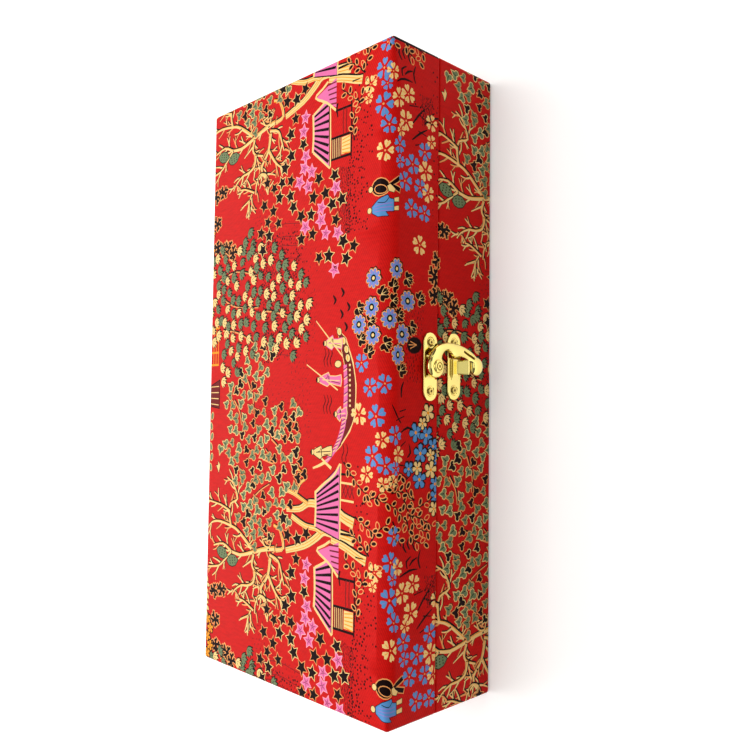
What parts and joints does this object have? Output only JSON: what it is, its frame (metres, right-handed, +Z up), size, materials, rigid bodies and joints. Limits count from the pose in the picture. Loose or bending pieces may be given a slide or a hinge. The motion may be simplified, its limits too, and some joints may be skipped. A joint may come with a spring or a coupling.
{
  "type": "brocade keepsake box",
  "caption": "Long rectangular box of boards wrapped in red landscape brocade, with a hinged lid, satin pads inside and a brass horn latch on the front",
  "frame": {"origin": "middle of the underside, on the surface that the box stands on", "axes": "+X along the box to the right as seen from the front, +Y to the back, where the hinges are, +Z up"},
  "size_m": [0.3, 0.1505, 0.071],
  "materials": {
    "brocade": "satin-ground brocade in red, with woven gold, green, pink, blue and black motifs",
    "board": "raw medium-density fibreboard",
    "black_card": "black textured card",
    "satin": "gold satin over card",
    "satin_pad": "gold satin over thin wadding",
    "latch_brass": "bright brass plate, polished",
    "nail_brass": "duller brass plate"
  },
  "bodies": {
    "base": {"bottom_card": "black_card", "base_floor_board": "board", "base_front_board": "board", "base_back_board": "board", "base_left_board": "board", "base_right_board": "board", "base_brocade": "brocade", "base_lining": "satin", "base_pad": "satin_pad", "catch_plate": "latch_brass", "catch_plate_nails": "nail_brass", "left_hinge_base_leaf": "latch_brass", "left_hinge_pin": "nail_brass", "right_hinge_base_leaf": "latch_brass", "right_hinge_pin": "nail_brass", "base_hinge_nails": "nail_brass"},
    "lid": {"lid_top_board": "board", "lid_front_board": "board", "lid_back_board": "board", "lid_left_board": "board", "lid_right_board": "board", "lid_brocade": "brocade", "lid_lining": "satin", "lid_pad": "satin_pad", "hook_plate": "latch_brass", "hook_plate_nails": "nail_brass", "hook_rivet": "latch_brass", "left_hinge_lid_leaf": "latch_brass", "right_hinge_lid_leaf": "latch_brass", "lid_hinge_nails": "nail_brass"},
    "hook": {"horn_hook": "latch_brass"}
  },
  "joints": [
    {"name": "lid_hinge", "type": "hinge", "parent": "base", "child": "lid", "pos_m": [0, 0.0719, 0.04], "axis": [-1, 0, 0], "range_deg": [0, 180]},
    {"name": "hook_pivot", "type": "hinge", "parent": "lid", "child": "hook", "pos_m": [0.0053, -0.0741, 0.046], "axis": [0, -1, 0], "range_deg": [0, 120]}
  ]
}
